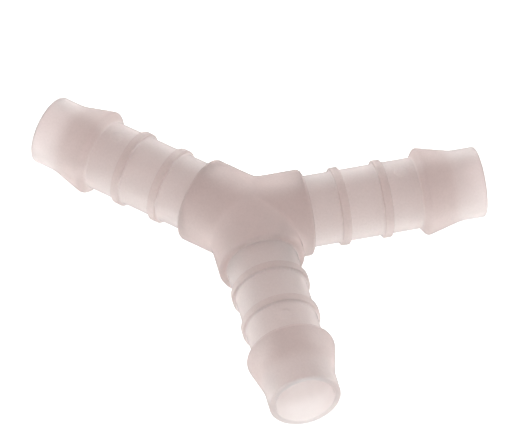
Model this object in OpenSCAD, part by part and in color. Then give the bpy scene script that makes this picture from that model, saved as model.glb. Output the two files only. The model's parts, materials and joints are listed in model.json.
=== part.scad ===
// Barbed Y connector for 12 mm bore hose: a hub and three hose tails.
// The stem runs along -X, and the two branches open at 45 degrees to either side of +X.
// All three axes lie in one level plane and meet at one point. Lengths are millimetres.
// The connector lies flat on the crests of its barbs, which touch the plane z = 0,
// and the origin is on that plane, under the middle of the connector's outline.

/* [Tails] */
// Outside diameter of the barrel that the hose closes on
barrel_d = 12; // [11.9:0.05:12.2]
// Distance from the meeting point of the axes to the mouth of a tail
reach = 39.4; // [38:0.1:42]
// Diameter of the bore through every tail and the hub
bore_d = 9.8; // [8.6:0.1:10]
// Angle between the two branches
branch_angle = 90; // [85:1:100]
// Radius of the outer edge at the mouth
mouth_round = 0.3; // [0.15:0.05:0.4]

/* [Ribs] */
// Outside diameter of the small grip ribs
rib_d = 13.1; // [12.6:0.1:13.6]
// Width of a rib along the tail
rib_w = 1.4; // [1:0.1:2]
// Distance from the meeting point of the axes to the middle of the first rib
rib_start = 15.3; // [14:0.1:16]
// Distance between the middles of neighbouring ribs
rib_pitch = 7.2; // [6.5:0.1:7.6]
// Number of ribs on each tail
rib_count = 2; // [1:1:2]
// Radius of the two outer edges of a rib
rib_round = 0.2; // [0.1:0.05:0.3]

/* [Barb] */
// Diameter of the barb at its crest
barb_d = 14.7; // [14.6:0.1:15.4]
// Distance from the meeting point of the axes to the foot of the barb's back face
barb_start = 28.3; // [27.5:0.1:29]
// Length of the steep back face along the tail, from its foot to the crest
barb_back = 1.3; // [1:0.1:1.6]
// Radius that rounds the crest
crest_round = 0.7; // [0.5:0.05:0.8]
// Length along the tail from the crest to the nose
cone = 6.4; // [5.5:0.1:7]
// Radius of the hollow curve that leads from the cone into the nose
nose_blend = 6; // [3:0.5:8]
// Outside diameter of the nose
nose_d = 11.9; // [11.8:0.05:12]

/* [Hub] */
// Outside diameter of the three collars that make the hub
collar_d = 14.5; // [13.8:0.1:14.6]
// Distance from the meeting point of the axes to the end face of a collar
collar_reach = 9.7; // [9.2:0.1:10.5]
// Radius of the edge round the end face of a collar
collar_round = 0.6; // [0.3:0.05:0.8]
// How far the ball that joins the three collars stands proud of them, inside and outside
ball_proud = 0.08; // [0.04:0.02:0.1]

/* [Ejector marks] */
// Diameter of the round mark left on top of each tail, between the last rib and the barb
mark_d = 2.2; // [1.5:0.1:2.6]
// Depth of the mark's flat floor below the top of the barrel
mark_depth = 0.2; // [0.15:0.05:0.3]
// Distance from the meeting point of the axes to the middle of the mark
mark_reach = 25.8; // [25.4:0.1:26.2]

/* [Hidden] */
$fn = 96;
arc_steps = 6;
bore_overrun = 1;

stem_heading = 180;
left_heading = branch_angle / 2;
right_heading = -branch_angle / 2;
headings = [stem_heading, left_heading, right_heading];

barrel_r = barrel_d / 2;
bore_r = bore_d / 2;
rib_r = rib_d / 2;
barb_r = barb_d / 2;
nose_r = nose_d / 2;
collar_r = collar_d / 2;
crest_at = barb_start + barb_back;

// How far the branches reach along +X from the meeting point of the axes: the farthest
// point is on the rounded edge of a branch's mouth.
branch_reach_x = mouth_round
    + (reach - mouth_round) * cos(left_heading)
    + (nose_r - mouth_round) * sin(left_heading);
meeting_point = [(reach - branch_reach_x) / 2, 0, barb_r];

natural_plastic = [0.90, 0.86, 0.85];

// Points along an arc, from one angle to another.
function arc(centre, radius, from, to) =
    [for (i = [0:arc_steps]) let (a = from + (to - from) * i / arc_steps)
        centre + radius * [cos(a), sin(a)]];

// The barb from the foot of its back face to the mouth, as [distance along the tail, radius].
// The back face, the crest, the cone and the hollow blend run into each other smoothly.
crest_centre = [crest_at, barb_r - crest_round];
blend_centre = [crest_at + cone, nose_r + nose_blend];
foot = [barb_start, barrel_r];

// Direction of the normal of the line from a point that touches a circle on its left.
function touch_angle(point, centre, radius) =
    let (d = centre - point) atan2(d[1], d[0]) + 90 + asin(radius / norm(d));
back_angle = touch_angle(foot, crest_centre, crest_round);

// Direction of the normal of the line that touches the crest's arc and the blend's arc.
crest_to_blend = blend_centre - crest_centre;
cone_angle = atan2(crest_to_blend[1], crest_to_blend[0])
    + acos((crest_round + nose_blend) / norm(crest_to_blend));

barb_outline = concat(
    [foot],
    arc(crest_centre, crest_round, back_angle, 90),
    arc(crest_centre, crest_round, 90, cone_angle),
    arc(blend_centre, nose_blend, cone_angle + 180, 270),
    arc([reach - mouth_round, nose_r - mouth_round], mouth_round, 90, 0)
);

// A ring on the tail's axis, with both outer edges rounded.
function ring_outline(from, to, radius, edge) = concat(
    [[from, barrel_r]],
    arc([from + edge, radius - edge], edge, 180, 90),
    arc([to - edge, radius - edge], edge, 90, 0),
    [[to, barrel_r]]
);

// Puts what is drawn along +X from the meeting point of the axes on one of the headings.
module on_heading(heading) {
    translate(meeting_point) rotate([0, 0, heading]) children();
}

// Revolves an outline of [distance along the tail, radius] about the tail's axis.
module turned(outline) {
    rotate([90, 0, 90]) rotate_extrude() polygon([for (p = outline) [p[1], p[0]]]);
}

// A round bar along the tail's axis.
module bar(from, to, radius) {
    translate([from, 0, 0]) rotate([0, 90, 0]) cylinder(h = to - from, r = radius);
}

// One hose tail, from the collar's end face to the mouth.
module tail() {
    rib_outlines = [for (i = [0:rib_count - 1]) let (middle = rib_start + i * rib_pitch)
        ring_outline(middle - rib_w / 2, middle + rib_w / 2, rib_r, rib_round)];
    outline = concat(
        [[collar_reach, 0], [collar_reach, barrel_r]],
        [for (rib = rib_outlines) each rib],
        barb_outline,
        [[reach, 0]]
    );
    difference() {
        turned(outline);
        bar(collar_reach - bore_overrun, reach + bore_overrun, bore_r);
        translate([mark_reach, 0, barrel_r - mark_depth]) cylinder(h = 1, d = mark_d);
    }
}

// One collar of the hub, from the meeting point of the axes to its end face.
module collar() {
    turned(concat(
        [[0, 0], [0, collar_r]],
        arc([collar_reach - collar_round, collar_r - collar_round], collar_round, 90, 0),
        [[collar_reach, 0]]
    ));
}

// A ball round the meeting point of the axes, with its poles inside the branches.
module ball(radius) {
    translate(meeting_point) rotate([90, 0, 0]) sphere(r = radius);
}

module hub() {
    color(natural_plastic) difference() {
        union() {
            for (heading = headings) on_heading(heading) collar();
            ball(collar_r + ball_proud);
        }
        for (heading = headings)
            on_heading(heading) bar(0, collar_reach + bore_overrun, bore_r);
        ball(bore_r + ball_proud);
    }
}

module stem_tail() {
    color(natural_plastic) on_heading(stem_heading) tail();
}

module left_branch_tail() {
    color(natural_plastic) on_heading(left_heading) tail();
}

module right_branch_tail() {
    color(natural_plastic) on_heading(right_heading) tail();
}

hub();
stem_tail();
left_branch_tail();
right_branch_tail();
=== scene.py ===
"""Visual model of a barbed Y hose connector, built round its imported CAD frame.

The connector is one moulding in natural plastic. Its hub and its three hose tails are
separate pieces that meet at the end faces of the hub's collars. Sizes are millimetres
in the classes and metres in the Blender meshes.
"""

import json
import logging
import math
from collections.abc import Sequence
from dataclasses import dataclass, field
from enum import Enum

import bpy
from mathutils import Matrix, Vector
from mathutils.geometry import intersect_line_line


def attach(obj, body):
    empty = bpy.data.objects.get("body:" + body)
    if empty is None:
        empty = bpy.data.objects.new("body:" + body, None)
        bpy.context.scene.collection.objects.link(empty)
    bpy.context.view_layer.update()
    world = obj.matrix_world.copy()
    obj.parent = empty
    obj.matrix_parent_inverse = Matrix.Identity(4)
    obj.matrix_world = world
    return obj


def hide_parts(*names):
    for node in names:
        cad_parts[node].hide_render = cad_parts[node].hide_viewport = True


LOG = logging.getLogger("y_connector")
MM = 0.001
BODY = "root"
WALL = "wall"
SAME_PLACE = 1e-6
SEAM_WELD = 0.001
SOFTENING_ROUNDS = 5
SWELLS_PER_METRE = 160.0
SWELL_DETAIL, CLOUD_DETAIL, GRAIN_DETAIL = 1.0, 3.0, 2.0
GRAIN_SHADE = 0.25
SHARP_ANGLE = 50.0

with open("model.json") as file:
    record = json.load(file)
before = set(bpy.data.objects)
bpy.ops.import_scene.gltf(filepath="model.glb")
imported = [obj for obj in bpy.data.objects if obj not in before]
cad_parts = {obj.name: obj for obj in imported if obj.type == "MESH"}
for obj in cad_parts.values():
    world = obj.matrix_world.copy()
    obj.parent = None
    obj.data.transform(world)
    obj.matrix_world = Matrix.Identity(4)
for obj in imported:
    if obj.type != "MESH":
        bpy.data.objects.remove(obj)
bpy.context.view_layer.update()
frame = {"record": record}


# ---------------------------------------------------------------------------
# Formulas in node trees
# ---------------------------------------------------------------------------


class Wire:
    """A node's output, used in formulas: each operator adds one maths node."""

    def __init__(self, graph: "Graph", socket: bpy.types.NodeSocket) -> None:
        self.graph = graph
        self.socket = socket

    @property
    def is_vector(self) -> bool:
        """Whether the output carries three numbers."""
        return self.socket.type == "VECTOR"

    def __add__(self, other: "Term") -> "Wire":
        """The sum."""
        return self.graph.combine("ADD", self, other)

    def __radd__(self, other: "Term") -> "Wire":
        """The sum, with a plain number on the left."""
        return self.graph.combine("ADD", other, self)

    def __sub__(self, other: "Term") -> "Wire":
        """The difference."""
        return self.graph.combine("SUBTRACT", self, other)

    def __rsub__(self, other: "Term") -> "Wire":
        """The difference, with a plain number on the left."""
        return self.graph.combine("SUBTRACT", other, self)

    def __mul__(self, other: "Term") -> "Wire":
        """The product, which scales a vector where one factor is a number."""
        return self.graph.product(self, other)

    def __truediv__(self, other: "Term") -> "Wire":
        """The quotient of two numbers."""
        return self.graph.combine("DIVIDE", self, other)

    def __rtruediv__(self, other: "Term") -> "Wire":
        """The quotient of two numbers, with a plain number on the left."""
        return self.graph.combine("DIVIDE", other, self)

    def __neg__(self) -> "Wire":
        """The negative."""
        return self.graph.product(self, -1.0)


Term = Wire | float | int | Sequence[float]


class Graph:
    """Builds one node tree."""

    def __init__(self, tree: bpy.types.NodeTree) -> None:
        self.tree = tree

    def node(
        self, kind: str, links: dict[str | int, object] | None = None, **settings: object
    ) -> bpy.types.Node:
        """Adds a node.

        Args:
            kind: The node's type name.
            links: What goes into each input, by its name or number: a wire or a value.
            settings: Properties of the node itself.

        Returns:
            The new node.
        """
        made = self.tree.nodes.new(kind)
        for name, value in settings.items():
            setattr(made, name, value)
        for key, value in (links or {}).items():
            self.feed(made.inputs[key], value)
        return made

    def feed(self, socket: bpy.types.NodeSocket, value: object) -> None:
        """Joins a wire to an input, or sets the input's own value."""
        if isinstance(value, Wire):
            self.tree.links.new(value.socket, socket)
        else:
            socket.default_value = value

    def wire(self, made: bpy.types.Node, output: str | int = 0) -> Wire:
        """One output of a node, ready for formulas."""
        return Wire(self, made.outputs[output])

    def combine(self, operation: str, *terms: Term) -> Wire:
        """Adds one maths node, on vectors where any term is a vector."""
        vector = any(isinstance(t, Wire) and t.is_vector for t in terms)
        kind = "ShaderNodeVectorMath" if vector else "ShaderNodeMath"
        return self.wire(self.node(kind, dict(enumerate(terms)), operation=operation))

    def product(self, left: Wire, right: Term) -> Wire:
        """The product of two terms, of which the left may be a vector."""
        if left.is_vector and not (isinstance(right, Wire) and right.is_vector):
            scaled = self.node("ShaderNodeVectorMath", {0: left, "Scale": right}, operation="SCALE")
            return self.wire(scaled)
        return self.combine("MULTIPLY", left, right)

    def maths(self, operation: str, *terms: Term) -> Wire:
        """A named function of plain numbers, such as COSINE or MAXIMUM."""
        return self.wire(self.node("ShaderNodeMath", dict(enumerate(terms)), operation=operation))

    def dot(self, left: Term, right: Term) -> Wire:
        """The dot product."""
        made = self.node("ShaderNodeVectorMath", {0: left, 1: right}, operation="DOT_PRODUCT")
        return self.wire(made, "Value")

    def length(self, vector: Term) -> Wire:
        """A vector's length."""
        made = self.node("ShaderNodeVectorMath", {0: vector}, operation="LENGTH")
        return self.wire(made, "Value")

    def vector(self, x: Term, y: Term, z: Term) -> Wire:
        """Three numbers as a vector."""
        return self.wire(self.node("ShaderNodeCombineXYZ", {0: x, 1: y, 2: z}))

    def parts(self, vector: Wire) -> tuple[Wire, Wire, Wire]:
        """A vector's three numbers."""
        made = self.node("ShaderNodeSeparateXYZ", {0: vector})
        return self.wire(made, 0), self.wire(made, 1), self.wire(made, 2)

    def ramp(self, value: Term, low: Term, high: Term) -> Wire:
        """Rises smoothly from 0 to 1 while the value goes from low to high."""
        made = self.node(
            "ShaderNodeMapRange",
            {"Value": value, "From Min": low, "From Max": high},
            interpolation_type="SMOOTHSTEP",
        )
        return self.wire(made)


class Tree:
    """A node group with named inputs and outputs."""

    def __init__(
        self, name: str, kind: str, inputs: dict[str, str], outputs: dict[str, str]
    ) -> None:
        self.group = bpy.data.node_groups.new(name, kind)
        for label, socket in inputs.items():
            self.group.interface.new_socket(name=label, in_out="INPUT", socket_type=socket)
        for label, socket in outputs.items():
            self.group.interface.new_socket(name=label, in_out="OUTPUT", socket_type=socket)
        self.graph = Graph(self.group)
        self.entry = self.group.nodes.new("NodeGroupInput")
        self.exit = self.group.nodes.new("NodeGroupOutput")

    def given(self, label: str) -> Wire:
        """One of the group's inputs."""
        return self.graph.wire(self.entry, label)

    def give(self, label: str, value: Wire) -> None:
        """Sends a value to one of the group's outputs."""
        self.graph.feed(self.exit.inputs[label], value)


FLOAT, INTEGER, VECTOR = "NodeSocketFloat", "NodeSocketInt", "NodeSocketVector"
GEOMETRY, OBJECT, MATERIAL = "NodeSocketGeometry", "NodeSocketObject", "NodeSocketMaterial"
SHAPE_TREE, SHADE_TREE = "GeometryNodeTree", "ShaderNodeTree"


def run_tree(name: str, tree: bpy.types.NodeTree, values: dict[str, object]) -> bpy.types.Object:
    """Runs a geometry tree and keeps what it makes as a plain mesh.

    Args:
        name: The name of the new piece.
        tree: The tree, which needs no geometry to start from.
        values: What each of the tree's inputs is set to, by the input's name.

    Returns:
        A mesh object at the origin, with no modifier.
    """
    carrier = bpy.data.objects.new(f"{name}_carrier", bpy.data.meshes.new(f"{name}_carrier"))
    bpy.context.scene.collection.objects.link(carrier)
    modifier = carrier.modifiers.new("shape", "NODES")
    modifier.node_group = tree
    items = [item for item in tree.interface.items_tree if item.in_out == "INPUT"]
    sockets = {item.name: item.identifier for item in items}
    for label, value in values.items():
        modifier[sockets[label]] = value
    bpy.context.view_layer.update()
    shaped = carrier.evaluated_get(bpy.context.evaluated_depsgraph_get())
    mesh = bpy.data.meshes.new_from_object(shaped)
    mesh.name = name
    carrier.modifiers.remove(modifier)
    bpy.data.objects.remove(carrier)
    piece = bpy.data.objects.new(name, mesh)
    bpy.context.scene.collection.objects.link(piece)
    return piece


# ---------------------------------------------------------------------------
# Where the arms lie
# ---------------------------------------------------------------------------


class Arm(Enum):
    """The connector's three arms, by the name that their mounts and nodes start with."""

    STEM = "stem"
    LEFT_BRANCH = "left_branch"
    RIGHT_BRANCH = "right_branch"

    @property
    def node(self) -> str:
        """The CAD node of the arm's hose tail."""
        return f"{self.value}_tail"


@dataclass(frozen=True)
class ArmPlace:
    """Where one arm lies and how big it is, as its mounts say, in millimetres."""

    arm: Arm
    origin: Vector
    direction: Vector
    collar_reach: float
    mouth_reach: float
    bore_r: float
    barrel_r: float
    nose_r: float

    @property
    def heading(self) -> float:
        """The arm's direction, as an angle about Z from +X, in radians."""
        return math.atan2(self.direction.y, self.direction.x)


def read_arms(record: dict) -> list[ArmPlace]:
    """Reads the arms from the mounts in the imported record.

    Args:
        record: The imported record.

    Returns:
        One place for each arm. They share one origin, where the axes meet.
    """
    mounts = {mount["name"]: mount for mount in record["mounts"]}

    def point(name: str) -> Vector:
        return Vector(mounts[name]["pos_m"]) / MM

    def direction(arm: Arm) -> Vector:
        return Vector(mounts[f"{arm.value}_bore"]["axis"]).normalized()

    stem, branch = (f"{arm.value}_bore" for arm in (Arm.STEM, Arm.LEFT_BRANCH))
    meeting, _ = intersect_line_line(
        point(stem), point(stem) + direction(Arm.STEM),
        point(branch), point(branch) + direction(Arm.LEFT_BRANCH),
    )
    return [
        ArmPlace(
            arm=arm,
            origin=meeting,
            direction=direction(arm),
            collar_reach=(point(f"{arm.value}_hose") - meeting).length,
            mouth_reach=(point(f"{arm.value}_bore") - meeting).length,
            bore_r=mounts[f"{arm.value}_bore"]["dims"]["r_mm"],
            barrel_r=mounts[f"{arm.value}_hose"]["dims"]["r_mm"],
            nose_r=mounts[f"{arm.value}_nose"]["dims"]["r_mm"],
        )
        for arm in Arm
    ]


# ---------------------------------------------------------------------------
# Outlines: [distance along the arm, radius], in millimetres
# ---------------------------------------------------------------------------

Point = tuple[float, float]


@dataclass
class Outline:
    """A line that is turned about an arm's axis, drawn from point to point."""

    arc_step: float = 12.0
    points: list[Point] = field(default_factory=list)

    def to(self, along: float, radius: float, pace: float = 0.3) -> "Outline":
        """Draws a straight line, cut into steps no longer than the pace."""
        if self.points:
            start = self.points[-1]
            steps = max(1, math.ceil(math.dist(start, (along, radius)) / pace))
            for i in range(1, steps):
                share = i / steps
                self.points.append(
                    (start[0] + (along - start[0]) * share, start[1] + (radius - start[1]) * share)
                )
        self.points.append((along, radius))
        return self

    def arc(self, along: float, radius: float, bend: float, first: float, last: float) -> "Outline":
        """Draws an arc round a centre.

        Args:
            along: The centre's distance along the arm.
            radius: The centre's distance from the axis.
            bend: The arc's own radius.
            first: The angle at which it starts, in degrees.
            last: The angle at which it ends.

        Returns:
            The same outline.
        """
        steps = max(2, math.ceil(abs(last - first) / self.arc_step))
        for i in range(steps + 1):
            angle = math.radians(first + (last - first) * i / steps)
            point = (along + bend * math.cos(angle), radius + bend * math.sin(angle))
            if not self.points or math.dist(point, self.points[-1]) > SAME_PLACE:
                self.points.append(point)
        return self

    def as_object(self, name: str, closed: bool) -> bpy.types.Object:
        """The outline as a line of edges in the XY plane, in metres, for a tree to read."""
        mesh = bpy.data.meshes.new(name)
        points = self.points
        if closed and math.dist(points[0], points[-1]) < SAME_PLACE:
            points = points[:-1]
        edges = [(i, i + 1) for i in range(len(points) - 1)]
        mesh.from_pydata([(x * MM, r * MM, 0.0) for x, r in points], edges, [])
        made = bpy.data.objects.new(name, mesh)
        bpy.context.scene.collection.objects.link(made)
        return made


# ---------------------------------------------------------------------------
# Trees that several pieces share
# ---------------------------------------------------------------------------


def turning_tree() -> bpy.types.NodeTree:
    """A tree that turns an outline about the X axis into a skin.

    Returns:
        The group. The outline's first point is at angle 0 in the XY plane, and a closed
        outline makes a closed ring.
    """
    tree = Tree(
        "turned_skin", SHAPE_TREE,
        {"Outline": OBJECT, "Segments": INTEGER, "Closed": INTEGER},
        {"Skin": GEOMETRY},
    )
    g = tree.graph
    line = g.wire(g.node("GeometryNodeObjectInfo", {"Object": tree.given("Outline")}), "Geometry")
    count = g.wire(g.node("GeometryNodeAttributeDomainSize", {"Geometry": line}), "Point Count")
    columns = count + tree.given("Closed")
    segments = tree.given("Segments")
    grid = g.wire(g.node("GeometryNodeMeshGrid", {
        "Size X": columns - 1.0, "Size Y": segments,
        "Vertices X": columns, "Vertices Y": segments + 1.0,
    }), "Mesh")
    place_x, place_y, _ = g.parts(g.wire(g.node("GeometryNodeInputPosition")))
    column = g.maths("ROUND", place_x + (columns - 1.0) * 0.5)
    turn = g.maths("ROUND", place_y + segments * 0.5) / segments * math.tau
    sample = g.node("GeometryNodeSampleIndex", data_type="FLOAT_VECTOR", domain="POINT")
    g.feed(sample.inputs["Geometry"], line)
    g.feed(sample.inputs["Value"], g.wire(g.node("GeometryNodeInputPosition")))
    g.feed(sample.inputs["Index"], g.maths("FLOORED_MODULO", column, count))
    along, radius, _ = g.parts(g.wire(sample))
    turned = g.vector(along, radius * g.maths("COSINE", turn), radius * g.maths("SINE", turn))
    placed = g.wire(g.node("GeometryNodeSetPosition", {"Geometry": grid, "Position": turned}))
    merged = g.wire(g.node("GeometryNodeMergeByDistance", {
        "Geometry": placed, "Distance": SEAM_WELD * MM,
    }))
    tree.give("Skin", g.wire(g.node("GeometryNodeFlipFaces", {"Mesh": merged})))
    return tree.group


def finishing_tree() -> bpy.types.NodeTree:
    """A tree for what the mould leaves on a piece: a faint parting line and a slight unevenness.

    Returns:
        The group. It works where the arms' axes lie at height 0, which is the parting
        plane, and it leaves the bore as it is.
    """
    tree = Tree(
        "mould_finish", SHAPE_TREE,
        {
            "Skin": GEOMETRY, "Outside": "NodeSocketBool",
            "Line Height": FLOAT, "Line Width": FLOAT, "Unevenness": FLOAT, "Seed": FLOAT,
        },
        {"Skin": GEOMETRY},
    )
    g = tree.graph
    place = g.wire(g.node("GeometryNodeInputPosition"))
    normal = g.wire(g.node("GeometryNodeInputNormal"))
    _, _, height = g.parts(place)
    spread = height / tree.given("Line Width")
    line = g.maths("EXPONENT", -(spread * spread)) * tree.given("Line Height")
    noise = g.node("ShaderNodeTexNoise", noise_dimensions="4D")
    g.feed(noise.inputs["Vector"], place)
    g.feed(noise.inputs["W"], tree.given("Seed"))
    noise.inputs["Scale"].default_value = SWELLS_PER_METRE
    noise.inputs["Detail"].default_value = SWELL_DETAIL
    swell = (g.wire(noise, "Fac") - 0.5) * tree.given("Unevenness")
    moved = g.node("GeometryNodeSetPosition", {
        "Geometry": tree.given("Skin"), "Selection": tree.given("Outside"),
        "Offset": normal * (line + swell),
    })
    tree.give("Skin", g.wire(moved))
    return tree.group


# ---------------------------------------------------------------------------
# Finishes
# ---------------------------------------------------------------------------


def grain_and_painted_shade_group() -> bpy.types.NodeTree:
    """The shader group for the plastic's surface: painted light and shade by wall thickness, milky
    clouds and a fine grain.

    Returns:
        The group. Sizes are millimetres, and Cloud and Grain go from 0, none, to 1. The colour
        deepens with the wall's thickness, which each piece keeps for its points: painted light on
        thin walls and painted shade on thick ones.
    """
    colour = "NodeSocketColor"
    tree = Tree(
        "plastic_grain", SHADE_TREE,
        {
            "Thin Colour": colour, "Thick Colour": colour, "Thin Wall": FLOAT, "Thick Wall": FLOAT,
            "Cloud Size": FLOAT, "Cloud": FLOAT, "Grain Size": FLOAT, "Grain": FLOAT,
            "Roughness": FLOAT, "Roughness Spread": FLOAT,
        },
        {"Colour": colour, "Roughness": FLOAT, "Height": FLOAT},
    )
    g = tree.graph
    place = g.wire(g.node("ShaderNodeTexCoord"), "Object")
    wall = g.wire(g.node("ShaderNodeAttribute", attribute_name=WALL), "Fac")

    def noise(size: Wire, detail: float) -> Wire:
        made = g.node("ShaderNodeTexNoise", {"Vector": place, "Scale": 1.0 / MM / size})
        made.inputs["Detail"].default_value = detail
        return g.wire(made, "Fac")

    # Painted light and shade: the colour pales where the wall is thin and deepens where it is
    # thick.
    thickness = g.ramp(wall, tree.given("Thin Wall"), tree.given("Thick Wall"))
    painted_light_and_shade_mix = g.node("ShaderNodeMix", data_type="RGBA")
    for socket, value in zip(
        ("Factor_Float", "A_Color", "B_Color"),
        (thickness, tree.given("Thin Colour"), tree.given("Thick Colour")),
    ):
        g.feed(next(made for made in painted_light_and_shade_mix.inputs if made.identifier == socket), value)
    painted_light_and_shade_tint = next(made for made in painted_light_and_shade_mix.outputs if made.identifier == "Result_Color")
    clouds = noise(tree.given("Cloud Size"), CLOUD_DETAIL)
    grain = noise(tree.given("Grain Size"), GRAIN_DETAIL)
    specks = (grain - 0.5) * tree.given("Grain") * GRAIN_SHADE
    shade = 1.0 + (clouds - 0.5) * tree.given("Cloud") + specks
    tinted = g.node("ShaderNodeVectorMath", {0: Wire(g, painted_light_and_shade_tint), "Scale": shade}, operation="SCALE")
    tree.give("Colour", g.wire(tinted))
    tree.give("Roughness", tree.given("Roughness") + (grain - 0.5) * tree.given("Roughness Spread"))
    tree.give("Height", grain * tree.given("Grain"))
    return tree.group


@dataclass(frozen=True)
class Plastic:
    """Natural, unfilled plastic: satin, faintly warm, and light passes through its walls; its
    colour also has painted light on thin walls and painted shade on thick ones.
    """

    name: str
    # Painted light on thin walls and painted shade on thick ones, over the plastic's own warm tint.
    thin_painted_light_colour: tuple[float, float, float]
    thick_painted_shade_colour: tuple[float, float, float]
    roughness: float
    roughness_spread: float
    cloud_size: float
    cloud: float
    grain_size: float
    grain: float
    relief: float
    thin_wall: float = 0.85
    thick_wall: float = 1.65
    clearness: float = 0.78
    refraction: float = 1.4
    body_colour: tuple[float, float, float] = (0.8, 0.7, 0.69)
    body_density: float = 110.0

    def material(self, grain: bpy.types.NodeTree) -> bpy.types.Material:
        """Builds the material.

        Args:
            grain: The shared shader group for the surface.

        Returns:
            The material, with what its body takes from the light set on the shaders' own sockets.
        """
        made = bpy.data.materials.new(self.name)
        made.use_nodes = True
        made.diffuse_color = (*self.thin_painted_light_colour, 1.0)
        g = Graph(made.node_tree)
        shader = made.node_tree.nodes["Principled BSDF"]
        output = made.node_tree.nodes["Material Output"]
        surface = g.node("ShaderNodeGroup", node_tree=grain)
        for label, value in {
            "Thin Colour": (*self.thin_painted_light_colour, 1.0), "Thick Colour": (*self.thick_painted_shade_colour, 1.0),
            "Thin Wall": self.thin_wall, "Thick Wall": self.thick_wall,
            "Cloud Size": self.cloud_size, "Cloud": self.cloud,
            "Grain Size": self.grain_size, "Grain": self.grain,
            "Roughness": self.roughness, "Roughness Spread": self.roughness_spread,
        }.items():
            surface.inputs[label].default_value = value
        g.feed(shader.inputs["Base Color"], g.wire(surface, "Colour"))
        g.feed(shader.inputs["Roughness"], g.wire(surface, "Roughness"))
        bump = g.node("ShaderNodeBump", {
            "Strength": 1.0, "Distance": self.relief * MM, "Height": g.wire(surface, "Height"),
        })
        g.feed(shader.inputs["Normal"], g.wire(bump))
        shader.inputs["Transmission Weight"].default_value = self.clearness
        shader.inputs["IOR"].default_value = self.refraction
        body = g.node("ShaderNodeVolumeAbsorption")
        body.inputs["Color"].default_value = (*self.body_colour, 1.0)
        body.inputs["Density"].default_value = self.body_density
        g.feed(output.inputs["Volume"], g.wire(body))
        return made


MOULDED = Plastic(
    name="moulded_plastic",
    thin_painted_light_colour=(0.98, 0.945, 0.925),
    thick_painted_shade_colour=(0.84, 0.77, 0.745),
    roughness=0.6,
    roughness_spread=0.15,
    cloud_size=2.2,
    cloud=0.06,
    grain_size=0.35,
    grain=0.8,
    relief=0.008,
)

# The bore's colour on thin walls is paler still: painted light for the glow inside the bore.
CORED = Plastic(
    name="cored_plastic",
    thin_painted_light_colour=(0.99, 0.975, 0.965),
    thick_painted_shade_colour=(0.84, 0.77, 0.745),
    roughness=0.32,
    roughness_spread=0.06,
    cloud_size=2.8,
    cloud=0.04,
    grain_size=0.5,
    grain=0.2,
    relief=0.004,
)


@dataclass(frozen=True)
class Finishes:
    """The materials that the pieces wear: one for outside faces and one for the bore."""

    moulded: bpy.types.Material
    cored: bpy.types.Material


# ---------------------------------------------------------------------------
# Pieces
# ---------------------------------------------------------------------------


@dataclass(frozen=True)
class MouldMarks:
    """What the mould leaves on the plastic."""

    line_height: float = 0.025
    line_width: float = 0.07
    unevenness: float = 0.03
    seed: float = 4.0


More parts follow.
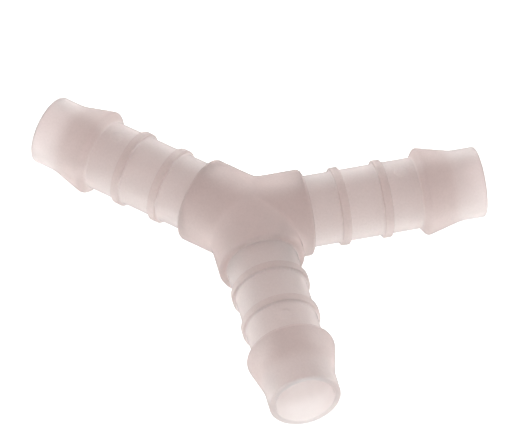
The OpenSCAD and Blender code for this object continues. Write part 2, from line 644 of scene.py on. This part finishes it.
@dataclass(frozen=True)
class HoseTail:
    """One hose tail, from the collar's end face to the mouth."""

    place: ArmPlace
    marks: MouldMarks
    rib_r: float = 6.55
    rib_w: float = 1.4
    rib_start: float = 15.3
    rib_pitch: float = 7.2
    rib_count: int = 2
    rib_round: float = 0.2
    foot_round: float = 0.28
    root_round: float = 0.25
    root_lip: float = 0.03
    seat_gap: float = 0.004
    barb_r: float = 7.35
    barb_start: float = 28.3
    barb_back: float = 1.3
    crest_round: float = 0.7
    cone: float = 6.4
    nose_blend: float = 6.0
    mouth_round: float = 0.3
    bore_mouth_round: float = 0.12
    ejector_reach: float = 25.8
    ejector_r: float = 1.1
    ejector_depth: float = 0.2
    ejector_edge: float = 0.3
    segments: int = 256

    def outline(self) -> Outline:
        """The closed outline of the tail's wall."""
        place, line = self.place, Outline()
        barrel, mouth, hollow = place.barrel_r, place.mouth_reach, self.root_round
        root = place.collar_reach + self.seat_gap
        lip_turn = math.acos(1 - self.root_lip / hollow)
        line.to(root, place.bore_r)
        line.to(root, barrel + hollow * (1 - math.sin(lip_turn)), pace=0.4)
        line.arc(root + hollow, barrel + hollow, hollow, 180 + math.degrees(lip_turn), 270)
        for i in range(self.rib_count):
            self.draw_rib(line, self.rib_start + i * self.rib_pitch)
        self.draw_barb(line)
        line.to(mouth - self.mouth_round, place.nose_r)
        line.arc(mouth - self.mouth_round, place.nose_r - self.mouth_round, self.mouth_round, 90, 0)
        edge = self.bore_mouth_round
        line.arc(mouth - edge, place.bore_r + edge, edge, 0, -90)
        line.to(root, place.bore_r, pace=0.5)
        return line

    def draw_rib(self, line: Outline, middle: float) -> None:
        """Draws one rib, with a small hollow at each foot and both outer edges rounded."""
        low, high, barrel = middle - self.rib_w / 2, middle + self.rib_w / 2, self.place.barrel_r
        foot, edge = self.foot_round, self.rib_round
        line.to(low - foot, barrel)
        line.arc(low - foot, barrel + foot, foot, 270, 360)
        line.arc(low + edge, self.rib_r - edge, edge, 180, 90)
        line.arc(high - edge, self.rib_r - edge, edge, 90, 0)
        line.arc(high + foot, barrel + foot, foot, 180, 270)

    def draw_barb(self, line: Outline) -> None:
        """Draws the barb: a steep back face, a round crest, a cone and the hollow into the nose."""
        barrel, nose = self.place.barrel_r, self.place.nose_r
        crest = Vector((self.barb_start + self.barb_back, self.barb_r - self.crest_round))
        blend = Vector((crest.x + self.cone, nose + self.nose_blend))
        foot = Vector((self.barb_start, barrel))
        to_crest, to_blend = crest - foot, blend - crest
        back = math.degrees(
            math.atan2(to_crest.y, to_crest.x) + math.asin(self.crest_round / to_crest.length)
        ) + 90
        cone = math.degrees(
            math.atan2(to_blend.y, to_blend.x)
            + math.acos((self.crest_round + self.nose_blend) / to_blend.length)
        )
        fine = self.ejector_r + 2 * self.ejector_edge
        line.to(self.ejector_reach - fine, barrel)
        line.to(self.ejector_reach + fine, barrel, pace=0.1)
        line.to(self.barb_start, barrel)
        line.arc(crest.x, crest.y, self.crest_round, back, 90)
        line.arc(crest.x, crest.y, self.crest_round, 90, cone)
        turn = math.radians(cone + 180)
        joint = blend + Vector((math.cos(turn), math.sin(turn))) * self.nose_blend
        line.to(joint.x, joint.y)
        line.arc(blend.x, blend.y, self.nose_blend, cone + 180, 270)

    @staticmethod
    def tree(turning: bpy.types.NodeTree, finishing: bpy.types.NodeTree) -> bpy.types.NodeTree:
        """The tree that makes a tail: turned, finished, marked by the ejector pin and placed."""
        tree = Tree(
            "hose_tail", SHAPE_TREE,
            {
                "Outline": OBJECT, "Segments": INTEGER, "Heading": FLOAT, "Origin": VECTOR,
                "Barrel Radius": FLOAT, "Bore Radius": FLOAT, "Wall Middle": FLOAT,
                "Mark Reach": FLOAT, "Mark Radius": FLOAT, "Mark Depth": FLOAT, "Mark Edge": FLOAT,
                "Line Height": FLOAT, "Line Width": FLOAT, "Unevenness": FLOAT, "Seed": FLOAT,
                "Moulded": MATERIAL, "Cored": MATERIAL,
            },
            {"Piece": GEOMETRY},
        )
        g = tree.graph
        turned = g.node("GeometryNodeGroup", node_tree=turning)
        g.feed(turned.inputs["Outline"], tree.given("Outline"))
        g.feed(turned.inputs["Segments"], tree.given("Segments"))
        g.feed(turned.inputs["Closed"], 1)
        x, y, z = g.parts(g.wire(g.node("GeometryNodeInputPosition")))
        radius = g.maths("SQRT", y * y + z * z)
        outside = g.maths("GREATER_THAN", radius, tree.given("Wall Middle"))
        finished = finish(g, g.wire(turned), outside, finishing, tree)
        aside = x - tree.given("Mark Reach")
        distance = g.maths("SQRT", aside * aside + y * y)
        rim, half_edge = tree.given("Mark Radius"), tree.given("Mark Edge") * 0.5
        inside = 1.0 - g.ramp(distance, rim - half_edge, rim + half_edge)
        floor = tree.given("Barrel Radius") - tree.given("Mark Depth")
        on_top = outside * g.maths("GREATER_THAN", z, 0.0)
        sunk = g.maths("MAXIMUM", z - floor, 0.0) * inside * on_top
        marked = g.node("GeometryNodeSetPosition", {
            "Geometry": finished, "Offset": g.vector(0.0, 0.0, -sunk),
        })
        # Wall thickness for the painted light and shade: the material pales thin walls and deepens
        # thick ones, so the ejector mark's thinner floor shows paler.
        walled = store(g, g.wire(marked), WALL, (radius - tree.given("Bore Radius")) / MM)
        dressed = dress(g, walled, outside, tree)
        placed = g.node("GeometryNodeTransform", {
            "Geometry": dressed, "Translation": tree.given("Origin"),
            "Rotation": g.vector(0.0, 0.0, tree.given("Heading")),
        })
        tree.give("Piece", g.wire(placed))
        return tree.group

    def build(self, tree: bpy.types.NodeTree, finishes: Finishes) -> bpy.types.Object:
        """Makes the piece and lets it stand for its CAD node."""
        outline = self.outline().as_object(f"{self.place.arm.value}_outline", closed=True)
        piece = run_tree(f"{self.place.arm.value}_hose_tail", tree, {
            "Outline": outline,
            "Segments": self.segments,
            "Heading": self.place.heading,
            "Origin": self.place.origin * MM,
            "Barrel Radius": self.place.barrel_r * MM,
            "Bore Radius": self.place.bore_r * MM,
            "Wall Middle": (self.place.barrel_r + self.place.bore_r) / 2 * MM,
            "Mark Reach": self.ejector_reach * MM,
            "Mark Radius": self.ejector_r * MM,
            "Mark Depth": self.ejector_depth * MM,
            "Mark Edge": self.ejector_edge * MM,
            "Line Height": self.marks.line_height * MM,
            "Line Width": self.marks.line_width * MM,
            "Unevenness": self.marks.unevenness * MM,
            "Seed": self.marks.seed + self.place.heading,
            "Moulded": finishes.moulded,
            "Cored": finishes.cored,
        })
        bpy.data.objects.remove(outline)
        stand_for(piece, self.place.arm.node)
        return piece


def store(g: Graph, skin: Wire, name: str, value: Wire) -> Wire:
    """Keeps a number for each point under a name."""
    made = g.node("GeometryNodeStoreNamedAttribute", data_type="FLOAT", domain="POINT")
    g.feed(made.inputs["Geometry"], skin)
    g.feed(made.inputs["Name"], name)
    g.feed(made.inputs["Value"], value)
    return g.wire(made)


def stored(g: Graph, name: str) -> Wire:
    """Reads a number that was kept for each point."""
    return g.wire(g.node("GeometryNodeInputNamedAttribute", {"Name": name}, data_type="FLOAT"))


def finish(
    g: Graph, skin: Wire, selection: Wire, finishing: bpy.types.NodeTree, tree: Tree
) -> Wire:
    """Gives the selected points the parting line and the unevenness of the piece's tree."""
    made = g.node("GeometryNodeGroup", node_tree=finishing)
    for label in ("Line Height", "Line Width", "Unevenness", "Seed"):
        g.feed(made.inputs[label], tree.given(label))
    g.feed(made.inputs["Skin"], skin)
    g.feed(made.inputs["Outside"], selection)
    return g.wire(made)


def dress(g: Graph, skin: Wire, outside: Wire, tree: Tree) -> Wire:
    """Ends a piece's tree: instances made real, outside faces moulded and the bore cored."""
    real = g.wire(g.node("GeometryNodeRealizeInstances", {"Geometry": skin}))
    cored = g.node("GeometryNodeSetMaterial", {"Geometry": real, "Material": tree.given("Cored")})
    moulded = g.node("GeometryNodeSetMaterial", {
        "Geometry": g.wire(cored), "Selection": outside, "Material": tree.given("Moulded"),
    })
    return g.wire(moulded)


@dataclass(frozen=True)
class Hub:
    """The hub: three round collars that run into each other, and the water ways' junction."""

    places: list[ArmPlace]
    marks: MouldMarks
    collar_r: float = 7.25
    collar_round: float = 0.6
    outer_softness: float = 0.3
    bore_softness: float = 0.15
    least_softness: float = 0.12
    slack: float = 0.02
    weld: float = 0.002
    near_crease: int = 34
    crowding: float = 1.6
    segments: int = 256

    def outline(self, place: ArmPlace) -> Outline:
        """The open outline of one collar, from its crease round its end face to the bore's."""
        line = Outline()
        plain = place.collar_reach - self.collar_round
        steps = [(i / self.near_crease) ** self.crowding for i in range(self.near_crease + 1)]
        line.points += [(plain * step, self.collar_r) for step in steps]
        line.arc(plain, self.collar_r - self.collar_round, self.collar_round, 90, 0)
        line.to(place.collar_reach, place.bore_r, pace=0.3)
        line.points += [(place.collar_reach * step, place.bore_r) for step in reversed(steps[:-1])]
        return line

    @staticmethod
    def side_slope(place: ArmPlace, others: list[ArmPlace], side: int) -> float:
        """How fast the crease runs out along the arm towards its neighbour on one side.

        Args:
            place: The arm.
            others: The other two arms.
            side: 1 for the neighbour on the left, going counter-clockwise, and -1 on the right.

        Returns:
            The cotangent of half the angle between the two arms.
        """
        turns = [side * (other.heading - place.heading) % math.tau for other in others]
        return 1.0 / math.tan(min(turns) / 2)

    @staticmethod
    def collar_tree(turning: bpy.types.NodeTree) -> bpy.types.NodeTree:
        """The tree for one collar, whose inner end is cut along the creases with its neighbours."""
        tree = Tree(
            "collar", SHAPE_TREE,
            {
                "Outline": OBJECT, "Segments": INTEGER, "Plain Length": FLOAT,
                "Left Slope": FLOAT, "Right Slope": FLOAT, "Heading": FLOAT,
            },
            {"Collar": GEOMETRY},
        )
        g = tree.graph
        turned = g.node("GeometryNodeGroup", node_tree=turning)
        g.feed(turned.inputs["Outline"], tree.given("Outline"))
        g.feed(turned.inputs["Segments"], tree.given("Segments"))
        turned.inputs["Closed"].default_value = 0
        x, y, z = g.parts(g.wire(g.node("GeometryNodeInputPosition")))
        crease = g.maths("MAXIMUM", y * tree.given("Left Slope"), -(y * tree.given("Right Slope")))
        share = 1.0 - g.maths("MINIMUM", x / tree.given("Plain Length"), 1.0)
        cut = g.node("GeometryNodeSetPosition", {
            "Geometry": g.wire(turned), "Position": g.vector(x + crease * share, y, z),
        })
        headed = g.node("GeometryNodeTransform", {
            "Geometry": g.wire(cut), "Rotation": g.vector(0.0, 0.0, tree.given("Heading")),
        })
        tree.give("Collar", g.wire(headed))
        return tree.group

    @staticmethod
    def softening_tree() -> bpy.types.NodeTree:
        """A tree that rolls a skin of three joined round bars smoothly over their creases.

        Returns:
            The group. Each point moves away from the axes, each of which pulls the more the
            nearer its bar is, so that no point crosses a crease. The bars lie flush with each
            other on top and below, so the softness falls there to its least share.
        """
        tree = Tree(
            "soft_creases", SHAPE_TREE,
            {
                "Skin": GEOMETRY, "Selection": "NodeSocketBool", "Radius": FLOAT,
                "Softness": FLOAT, "Least Share": FLOAT,
                "First": VECTOR, "Second": VECTOR, "Third": VECTOR,
            },
            {"Skin": GEOMETRY},
        )
        g = tree.graph
        skin = tree.given("Skin")
        for _ in range(SOFTENING_ROUNDS):
            place = g.wire(g.node("GeometryNodeInputPosition"))
            _, _, height = g.parts(place)
            level = height / tree.given("Radius")
            part = g.maths("MAXIMUM", 1.0 - level * level, tree.given("Least Share"))
            softness = tree.given("Softness") * part
            total: Wire | None = None
            pull: Wire | None = None
            for label in ("First", "Second", "Third"):
                axis = tree.given(label)
                outwards = place - axis * g.maths("MAXIMUM", g.dot(place, axis), 0.0)
                away = g.length(outwards)
                share = g.maths("EXPONENT", -((away - tree.given("Radius")) / softness))
                one = outwards * (share / away)
                total = share if total is None else total + share
                pull = one if pull is None else pull + one
            slope = pull * (1.0 / total)
            short = g.maths("LOGARITHM", total, math.e) * softness
            skin = g.wire(g.node("GeometryNodeSetPosition", {
                "Geometry": skin, "Selection": tree.given("Selection"),
                "Offset": slope * (short / g.dot(slope, slope)),
            }))
        tree.give("Skin", skin)
        return tree.group

    def tree(
        self, turning: bpy.types.NodeTree, finishing: bpy.types.NodeTree
    ) -> bpy.types.NodeTree:
        """The tree that makes the hub from three collars."""
        for_each_arm = {
            "Outline": OBJECT, "Left Slope": FLOAT, "Right Slope": FLOAT, "Heading": FLOAT,
            "Axis": VECTOR,
        }
        numbers = {
            f"{arm.value} {label}": kind for arm in Arm for label, kind in for_each_arm.items()
        }
        tree = Tree(
            "hub", SHAPE_TREE,
            {
                **numbers, "Segments": INTEGER, "Plain Length": FLOAT, "Origin": VECTOR,
                "Collar Radius": FLOAT, "Bore Radius": FLOAT,
                "Outer Softness": FLOAT, "Bore Softness": FLOAT,
                "Line Height": FLOAT, "Line Width": FLOAT, "Unevenness": FLOAT, "Seed": FLOAT,
                "Moulded": MATERIAL, "Cored": MATERIAL,
            },
            {"Piece": GEOMETRY},
        )
        g = tree.graph
        collar, soften = self.collar_tree(turning), self.softening_tree()
        join = g.node("GeometryNodeJoinGeometry")
        for arm in Arm:
            made = g.node("GeometryNodeGroup", node_tree=collar)
            for label in ("Outline", "Left Slope", "Right Slope", "Heading"):
                g.feed(made.inputs[label], tree.given(f"{arm.value} {label}"))
            g.feed(made.inputs["Segments"], tree.given("Segments"))
            g.feed(made.inputs["Plain Length"], tree.given("Plain Length"))
            g.feed(join.inputs[0], g.wire(made))
        skin = g.wire(g.node("GeometryNodeMergeByDistance", {
            "Geometry": g.wire(join), "Distance": self.weld * MM,
        }))
        place = g.wire(g.node("GeometryNodeInputPosition"))
        nearest: Wire | None = None
        for arm in Arm:
            axis = tree.given(f"{arm.value} Axis")
            away = g.length(place - axis * g.maths("MAXIMUM", g.dot(place, axis), 0.0))
            nearest = away if nearest is None else g.maths("MINIMUM", nearest, away)
        outer = g.maths("GREATER_THAN", nearest, tree.given("Collar Radius") - self.slack * MM)
        inner = g.maths("LESS_THAN", nearest, tree.given("Bore Radius") + self.slack * MM)
        axes = {
            label: tree.given(f"{arm.value} Axis")
            for label, arm in zip(("First", "Second", "Third"), Arm)
        }
        # What picks the points is stored before any of them moves, as it is read from their places.
        skin = store(g, skin, "outer", outer)
        skin = store(g, skin, "inner", inner)
        # Wall thickness for the painted shade: the hub's thick walls take the deeper colour.
        skin = store(g, skin, WALL, (nearest - tree.given("Bore Radius")) / MM)
        for label, radius, softness in (
            ("outer", "Collar Radius", "Outer Softness"),
            ("inner", "Bore Radius", "Bore Softness"),
        ):
            made = g.node("GeometryNodeGroup", node_tree=soften)
            g.feed(made.inputs["Skin"], skin)
            g.feed(made.inputs["Selection"], stored(g, label))
            g.feed(made.inputs["Radius"], tree.given(radius))
            g.feed(made.inputs["Softness"], tree.given(softness))
            made.inputs["Least Share"].default_value = self.least_softness
            for name, axis in axes.items():
                g.feed(made.inputs[name], axis)
            skin = g.wire(made)
        finished = finish(g, skin, stored(g, "outer"), finishing, tree)
        dressed = dress(g, finished, 1.0 - stored(g, "inner"), tree)
        placed = g.node("GeometryNodeTransform", {
            "Geometry": dressed, "Translation": tree.given("Origin"),
        })
        tree.give("Piece", g.wire(placed))
        return tree.group

    def build(
        self, turning: bpy.types.NodeTree, finishing: bpy.types.NodeTree, finishes: Finishes
    ) -> bpy.types.Object:
        """Makes the piece and lets it stand for its CAD node."""
        values: dict[str, object] = {}
        outlines = []
        for place in self.places:
            others = [other for other in self.places if other is not place]
            name = place.arm.value
            outlines.append(self.outline(place).as_object(f"{name}_collar_outline", closed=False))
            values[f"{name} Outline"] = outlines[-1]
            values[f"{name} Left Slope"] = self.side_slope(place, others, 1)
            values[f"{name} Right Slope"] = self.side_slope(place, others, -1)
            values[f"{name} Heading"] = place.heading
            values[f"{name} Axis"] = place.direction
        first = self.places[0]
        values |= {
            "Segments": self.segments,
            "Plain Length": (first.collar_reach - self.collar_round) * MM,
            "Origin": first.origin * MM,
            "Collar Radius": self.collar_r * MM,
            "Bore Radius": first.bore_r * MM,
            "Outer Softness": self.outer_softness * MM,
            "Bore Softness": self.bore_softness * MM,
            "Line Height": self.marks.line_height * MM,
            "Line Width": self.marks.line_width * MM,
            "Unevenness": self.marks.unevenness * MM,
            "Seed": self.marks.seed,
            "Moulded": finishes.moulded,
            "Cored": finishes.cored,
        }
        piece = run_tree("connector_hub", self.tree(turning, finishing), values)
        for outline in outlines:
            bpy.data.objects.remove(outline)
        stand_for(piece, "hub")
        return piece


def stand_for(piece: bpy.types.Object, node: str) -> None:
    """Lets a finished piece ride on the connector's body and stand for its CAD node."""
    piece.data.shade_smooth()
    piece.data.set_sharp_from_angle(angle=math.radians(SHARP_ANGLE))
    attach(piece, BODY)
    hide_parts(node)


# ---------------------------------------------------------------------------
# Studio
# ---------------------------------------------------------------------------


@dataclass(frozen=True)
class Studio:
    """A white table that glows, a bright room with a dim ceiling, and the camera."""

    meeting: Vector
    table_side: float = 3000.0
    table_glow: float = 1.25
    table_white: float = 0.35
    wall_light: float = 1.17
    ceiling_light: float = 0.46
    ceiling_azimuth: float = 31.38
    ceiling_elevation: float = 70.0
    ceiling_inner: float = 10.0
    ceiling_outer: float = 75.0
    azimuth: float = 31.38
    elevation: float = 48.5
    roll: float = -0.33
    distance: float = 850.0
    lens: float = 356.1
    sensor: float = 36.0
    aim_right: float = 1.73
    aim_up: float = 0.65
    clip_start: float = 10.0
    clip_end: float = 10000.0

    def table(self) -> None:
        """Lays the plain pale table top that the connector rests on."""
        half = self.table_side / 2 * MM
        mesh = bpy.data.meshes.new("table_top")
        corners = [(-half, -half, 0), (half, -half, 0), (half, half, 0), (-half, half, 0)]
        mesh.from_pydata(corners, [], [(0, 1, 2, 3)])
        top = bpy.data.objects.new("table_top", mesh)
        bpy.context.scene.collection.objects.link(top)
        made = bpy.data.materials.new("pale_table")
        made.use_nodes = True
        shader = made.node_tree.nodes["Principled BSDF"]
        shader.inputs["Base Color"].default_value = (self.table_white,) * 3 + (1.0,)
        shader.inputs["Roughness"].default_value = 1.0
        shader.inputs["Specular IOR Level"].default_value = 0.0
        shader.inputs["Emission Color"].default_value = (1.0, 1.0, 1.0, 1.0)
        shader.inputs["Emission Strength"].default_value = self.table_glow
        mesh.materials.append(made)

    @staticmethod
    def towards(azimuth: float, elevation: float) -> Vector:
        """The direction of a point seen at an azimuth, from the front, and an elevation."""
        turn, rise = math.radians(azimuth), math.radians(elevation)
        level = math.cos(rise)
        return Vector((math.sin(turn) * level, -math.cos(turn) * level, math.sin(rise)))

    def room(self) -> None:
        """Lights the room from its walls, and leaves the ceiling dim."""
        world = bpy.data.worlds.new("white_room")
        world.use_nodes = True
        background = world.node_tree.nodes["Background"]
        background.inputs["Color"].default_value = (1.0, 1.0, 1.0, 1.0)
        g = Graph(world.node_tree)
        middle = self.towards(self.ceiling_azimuth, self.ceiling_elevation)
        near, far = (math.cos(math.radians(a)) for a in (self.ceiling_inner, self.ceiling_outer))
        share = g.ramp(g.dot(g.wire(g.node("ShaderNodeTexCoord"), "Generated"), middle), far, near)
        light = share * (self.ceiling_light - self.wall_light) + self.wall_light
        g.feed(background.inputs["Strength"], light)
        bpy.context.scene.world = world

    def camera(self) -> None:
        """Sets the camera above and to the right of the connector's front, with a long lens."""
        turn, roll = math.radians(self.azimuth), math.radians(self.roll)
        back = self.towards(self.azimuth, self.elevation)
        level = Vector((math.cos(turn), math.sin(turn), 0.0))
        upright = back.cross(level)
        right = level * math.cos(roll) - upright * math.sin(roll)
        up = level * math.sin(roll) + upright * math.cos(roll)
        lens = bpy.data.cameras.new("camera")
        lens.lens, lens.sensor_width = self.lens, self.sensor
        lens.clip_start, lens.clip_end = self.clip_start * MM, self.clip_end * MM
        holder = bpy.data.objects.new("camera", lens)
        aim = self.meeting + right * self.aim_right + up * self.aim_up
        stand = Matrix.Translation((aim + back * self.distance) * MM)
        holder.matrix_world = stand @ Matrix((right, up, back)).transposed().to_4x4()
        bpy.context.scene.collection.objects.link(holder)
        bpy.context.scene.camera = holder

    def build(self) -> None:
        """Builds the whole studio and keeps its whites white."""
        self.table()
        self.room()
        self.camera()
        bpy.context.scene.view_settings.view_transform = "Standard"


def report(piece: bpy.types.Object) -> None:
    """Logs a finished piece: its size and how many triangles it has."""
    triangles = sum(len(face.vertices) - 2 for face in piece.data.polygons)
    size = ", ".join(f"{side / MM:.2f}" for side in piece.dimensions)
    LOG.info("%s: %s mm, %d triangles", piece.name, size, triangles)


def main() -> None:
    """Builds the connector and the studio."""
    logging.basicConfig(level=logging.INFO, format="%(message)s")
    grain = grain_and_painted_shade_group()
    finishes = Finishes(MOULDED.material(grain), CORED.material(grain))
    turning, finishing = turning_tree(), finishing_tree()
    marks = MouldMarks()
    places = read_arms(frame["record"])
    report(Hub(places, marks).build(turning, finishing, finishes))
    tail_tree = HoseTail.tree(turning, finishing)
    for place in places:
        report(HoseTail(place, marks).build(tail_tree, finishes))
    Studio(places[0].origin).build()
    bpy.context.view_layer.update()


if __name__ == "__main__":
    main()
